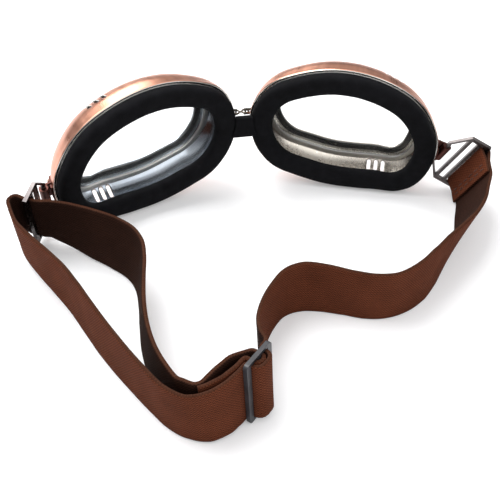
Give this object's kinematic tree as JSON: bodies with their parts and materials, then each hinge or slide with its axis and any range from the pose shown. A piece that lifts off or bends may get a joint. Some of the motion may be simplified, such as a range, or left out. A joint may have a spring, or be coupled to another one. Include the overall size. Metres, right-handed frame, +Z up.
{
  "type": "aviator goggles",
  "caption": "Flying goggles with two pressed metal eyecups, foam face pads, a chain and foam nose bridge, strap buckles and an elastic strap with a slider.",
  "frame": {"origin": "centre of the bounding box at the level of the table", "axes": "+Y forward through the lenses, +X to the wearer's right, +Z up as the goggles lie on a table"},
  "size_m": [0.2028, 0.1546, 0.0613],
  "materials": {
    "copper_shell": "glossy copper lacquer, bright inside",
    "lens": "clear",
    "gasket_rubber": "satin",
    "bright_ring": "plated",
    "pad_foam": "matt sponge rubber",
    "chrome_wire": "polished",
    "lug_copper": "aged",
    "rivet_brass": "satin",
    "buckle_steel": "gunmetal plating",
    "slider_paint": "dark grey, satin",
    "stitch_thread": "brown thread",
    "strap_elastic": "brown woven elastic"
  },
  "bodies": {
    "right_eyecup": {"right_cup_shell": "copper_shell", "right_lens_gasket": "gasket_rubber", "right_lens": "lens", "right_lens_retainer": "bright_ring", "right_face_pad": "pad_foam", "right_pad_plate": "bright_ring", "right_nose_lug": "chrome_wire", "right_side_lug": "lug_copper", "right_lug_rivets": "rivet_brass", "nose_bridge_pad": "pad_foam", "strap_right_run": "strap_elastic", "strap_slider_weave": "strap_elastic", "strap_outer_band": "strap_elastic", "strap_inner_band": "strap_elastic", "strap_right_lead": "strap_elastic"},
    "left_eyecup": {"left_cup_shell": "copper_shell", "left_lens_gasket": "gasket_rubber", "left_lens": "lens", "left_lens_retainer": "bright_ring", "left_face_pad": "pad_foam", "left_pad_plate": "bright_ring", "left_nose_lug": "chrome_wire", "left_side_lug": "lug_copper", "left_lug_rivets": "rivet_brass"},
    "nose_link": {"nose_link": "chrome_wire"},
    "right_buckle": {"right_buckle": "buckle_steel", "strap_right_end": "strap_elastic", "right_end_stitching": "stitch_thread"},
    "left_buckle": {"left_buckle": "buckle_steel", "strap_left_turn": "strap_elastic"},
    "slider": {"strap_slider": "slider_paint", "strap_sewn_loop": "strap_elastic", "sewn_loop_stitching": "stitch_thread"}
  },
  "joints": [
    {"name": "bridge_fold", "type": "hinge", "parent": "right_eyecup", "child": "left_eyecup", "pos_m": [-0.00199, 0.0676, 0.0344], "axis": [0, 0, 1], "range_deg": [-12, 24], "deforming": ["nose_bridge_pad", "strap_outer_band", "strap_inner_band"]},
    {"name": "link_turn", "type": "hinge", "parent": "right_eyecup", "child": "nose_link", "pos_m": [-0.00199, 0.0676, 0.0344], "axis": [0, 0, 1], "range_deg": [-6, 12]},
    {"name": "left_buckle_swing", "type": "hinge", "parent": "left_eyecup", "child": "left_buckle", "pos_m": [-0.08748, 0.04184, 0.01984], "axis": [-0.0401, -0.3054, 0.9514], "range_deg": [-15, 15], "deforming": ["strap_left_turn"]},
    {"name": "right_buckle_swing", "type": "hinge", "parent": "right_eyecup", "child": "right_buckle", "pos_m": [0.0835, 0.04184, 0.02114], "axis": [0.2951, -0.3571, 0.8862], "range_deg": [-15, 15], "deforming": ["strap_right_lead"]},
    {"name": "slider_travel", "type": "slide", "parent": "right_eyecup", "child": "slider", "axis": [0.7244, 0.688, 0.044], "range_m": [-0.006, 0.006], "deforming": ["strap_slider_weave", "strap_right_run"]}
  ],
  "couplings": [
    {"joint": "link_turn", "follows": "bridge_fold", "ratio": 0.5}
  ]
}
